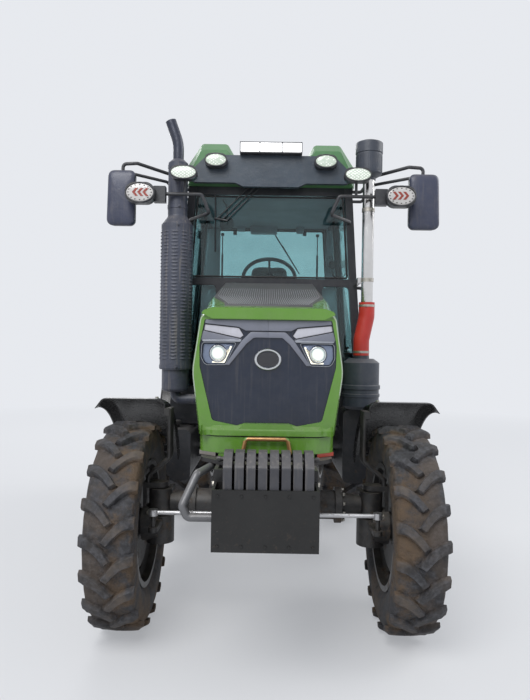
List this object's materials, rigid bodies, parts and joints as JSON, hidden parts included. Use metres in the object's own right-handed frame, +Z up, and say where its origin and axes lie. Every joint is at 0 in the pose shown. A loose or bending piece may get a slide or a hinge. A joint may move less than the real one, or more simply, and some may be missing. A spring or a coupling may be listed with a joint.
{
  "type": "farm tractor",
  "caption": "Compact four wheel drive farm tractor with a cab, front ballast weights, side exhaust and intake stacks, lugged tyres and a rear three-point hitch.",
  "frame": {"origin": "on the ground under the middle of the tractor's overall length and width", "axes": "+Z up, the tractor faces -Y, +X is its left side"},
  "size_m": [2.098, 3.8999, 2.8916],
  "materials": {
    "green_paint": "glossy green paint with dust",
    "black_paint": "satin black paint",
    "grey_paint": "grey paint, dusty",
    "cast_black": "black painted cast iron, dusty",
    "tyre_rubber": "black rubber with dried mud",
    "rim_paint": "black paint with dust",
    "steel": "worn bare steel",
    "stainless": "polished stainless pipe",
    "black_plastic": "moulded black plastic",
    "gloss_plastic": "dark glossy plastic",
    "grey_plastic": "grey moulded plastic",
    "clear_lens": "clear lens",
    "cab_glass": "blue-green tinted glass",
    "red_hose": "red silicone rubber",
    "seat_fabric": "black woven fabric"
  },
  "bodies": {
    "chassis": {"front_frame": "black_paint", "front_axle_housing": "cast_black", "steering_cylinder": "black_paint", "weight_box": "black_paint", "suitcase_weights": "grey_paint", "guard_tube": "grey_paint", "engine_block": "cast_black", "transmission": "cast_black", "lower_nose": "green_paint", "air_cleaner": "black_plastic", "intake_hose": "red_hose", "intake_pipe": "stainless", "pre_cleaner": "black_plastic", "muffler": "black_paint", "tailpipe": "stainless", "fuel_tank": "black_plastic", "battery_box": "black_plastic", "cab_steps": "black_paint", "cab_frame": "black_paint", "cab_floor": "black_paint", "dashboard": "black_plastic", "windshield": "cab_glass", "rear_window": "cab_glass", "side_windows": "cab_glass", "roof": "green_paint", "roof_visor": "black_plastic", "rear_fender_left": "black_plastic", "rear_fender_right": "black_plastic", "seat": "seat_fabric", "mirrors": "black_plastic", "work_lamps": "black_plastic", "drawbar": "black_paint"},
    "knuckle_left": {"knuckle_left": "cast_black", "front_fender_left": "black_plastic"},
    "knuckle_right": {"knuckle_right": "cast_black", "front_fender_right": "black_plastic"},
    "wheel_front_left": {"tyre_front_left": "tyre_rubber", "rim_front_left": "rim_paint"},
    "wheel_front_right": {"tyre_front_right": "tyre_rubber", "rim_front_right": "rim_paint"},
    "wheel_rear_left": {"tyre_rear_left": "tyre_rubber", "rim_rear_left": "rim_paint"},
    "wheel_rear_right": {"tyre_rear_right": "tyre_rubber", "rim_rear_right": "rim_paint"},
    "steering_rod": {"steering_rod": "steel"},
    "door_left": {"door_frame_left": "black_paint", "door_glass_left": "cab_glass"},
    "door_right": {"door_frame_right": "black_paint", "door_glass_right": "cab_glass"},
    "hood": {"hood_shell": "green_paint", "nose_mask": "gloss_plastic", "headlamps": "clear_lens", "hood_vent": "grey_plastic"},
    "steering_wheel": {"steering_wheel": "black_plastic"},
    "lower_links": {"lower_links": "black_paint"},
    "lift_arms": {"lift_arms": "cast_black"},
    "lift_rods": {"lift_rods": "steel"},
    "top_link": {"top_link": "steel"}
  },
  "joints": [
    {"name": "steer_left", "type": "hinge", "parent": "chassis", "child": "knuckle_left", "pos_m": [0.55, -1.16, 0.525], "axis": [0, 0, 1], "range_deg": [-30, 30]},
    {"name": "steer_right", "type": "hinge", "parent": "chassis", "child": "knuckle_right", "pos_m": [-0.55, -1.16, 0.525], "axis": [0, 0, 1], "range_deg": [-30, 30]},
    {"name": "steering_rod_slide", "type": "slide", "parent": "chassis", "child": "steering_rod", "axis": [1, 0, 0], "range_m": [-0.109, 0.109]},
    {"name": "spin_front_left", "type": "hinge", "parent": "knuckle_left", "child": "wheel_front_left", "pos_m": [0.7075, -1.16, 0.525], "axis": [1, 0, 0], "continuous": true},
    {"name": "spin_front_right", "type": "hinge", "parent": "knuckle_right", "child": "wheel_front_right", "pos_m": [-0.7075, -1.16, 0.525], "axis": [1, 0, 0], "continuous": true},
    {"name": "spin_rear_left", "type": "hinge", "parent": "chassis", "child": "wheel_rear_left", "pos_m": [0.64, 1.04, 0.6825], "axis": [1, 0, 0], "continuous": true},
    {"name": "spin_rear_right", "type": "hinge", "parent": "chassis", "child": "wheel_rear_right", "pos_m": [-0.64, 1.04, 0.6825], "axis": [1, 0, 0], "continuous": true},
    {"name": "door_left_hinge", "type": "hinge", "parent": "chassis", "child": "door_left", "pos_m": [0.68395, 0.5485, 0.92626], "axis": [-0.0785, 0, 0.9969], "range_deg": [0, 70]},
    {"name": "door_right_hinge", "type": "hinge", "parent": "chassis", "child": "door_right", "pos_m": [-0.68395, 0.5485, 0.92626], "axis": [-0.0785, 0, -0.9969], "range_deg": [0, 70]},
    {"name": "hood_hinge", "type": "hinge", "parent": "chassis", "child": "hood", "pos_m": [0, -0.382, 1.815], "axis": [-1, 0, 0], "range_deg": [0, 50]},
    {"name": "steering_wheel_turn", "type": "hinge", "parent": "chassis", "child": "steering_wheel", "pos_m": [0, 0.25, 1.966], "axis": [0, 0.6428, 0.766], "continuous": true},
    {"name": "lower_links_lift", "type": "hinge", "parent": "chassis", "child": "lower_links", "pos_m": [0, 1.13, 0.44], "axis": [1, 0, 0], "range_deg": [0, 38]},
    {"name": "lift_arms_turn", "type": "hinge", "parent": "chassis", "child": "lift_arms", "pos_m": [0, 1.14, 0.985], "axis": [1, 0, 0], "range_deg": [0, 58.99]},
    {"name": "lift_rods_turn", "type": "hinge", "parent": "lift_arms", "child": "lift_rods", "pos_m": [0, 1.4, 0.915], "axis": [1, 0, 0], "range_deg": [-56.71, 0]},
    {"name": "top_link_swing", "type": "hinge", "parent": "chassis", "child": "top_link", "pos_m": [0, 1.3, 0.76], "axis": [1, 0, 0], "range_deg": [0, 40]}
  ],
  "couplings": [
    {"joint": "steer_right", "follows": "steer_left", "ratio": 1},
    {"joint": "steering_rod_slide", "follows": "steer_left", "m_per_rad": 0.20531},
    {"joint": "lift_arms_turn", "follows": "lower_links_lift", "ratio": 1.5392},
    {"joint": "lift_rods_turn", "follows": "lower_links_lift", "ratio": -1.4792}
  ]
}
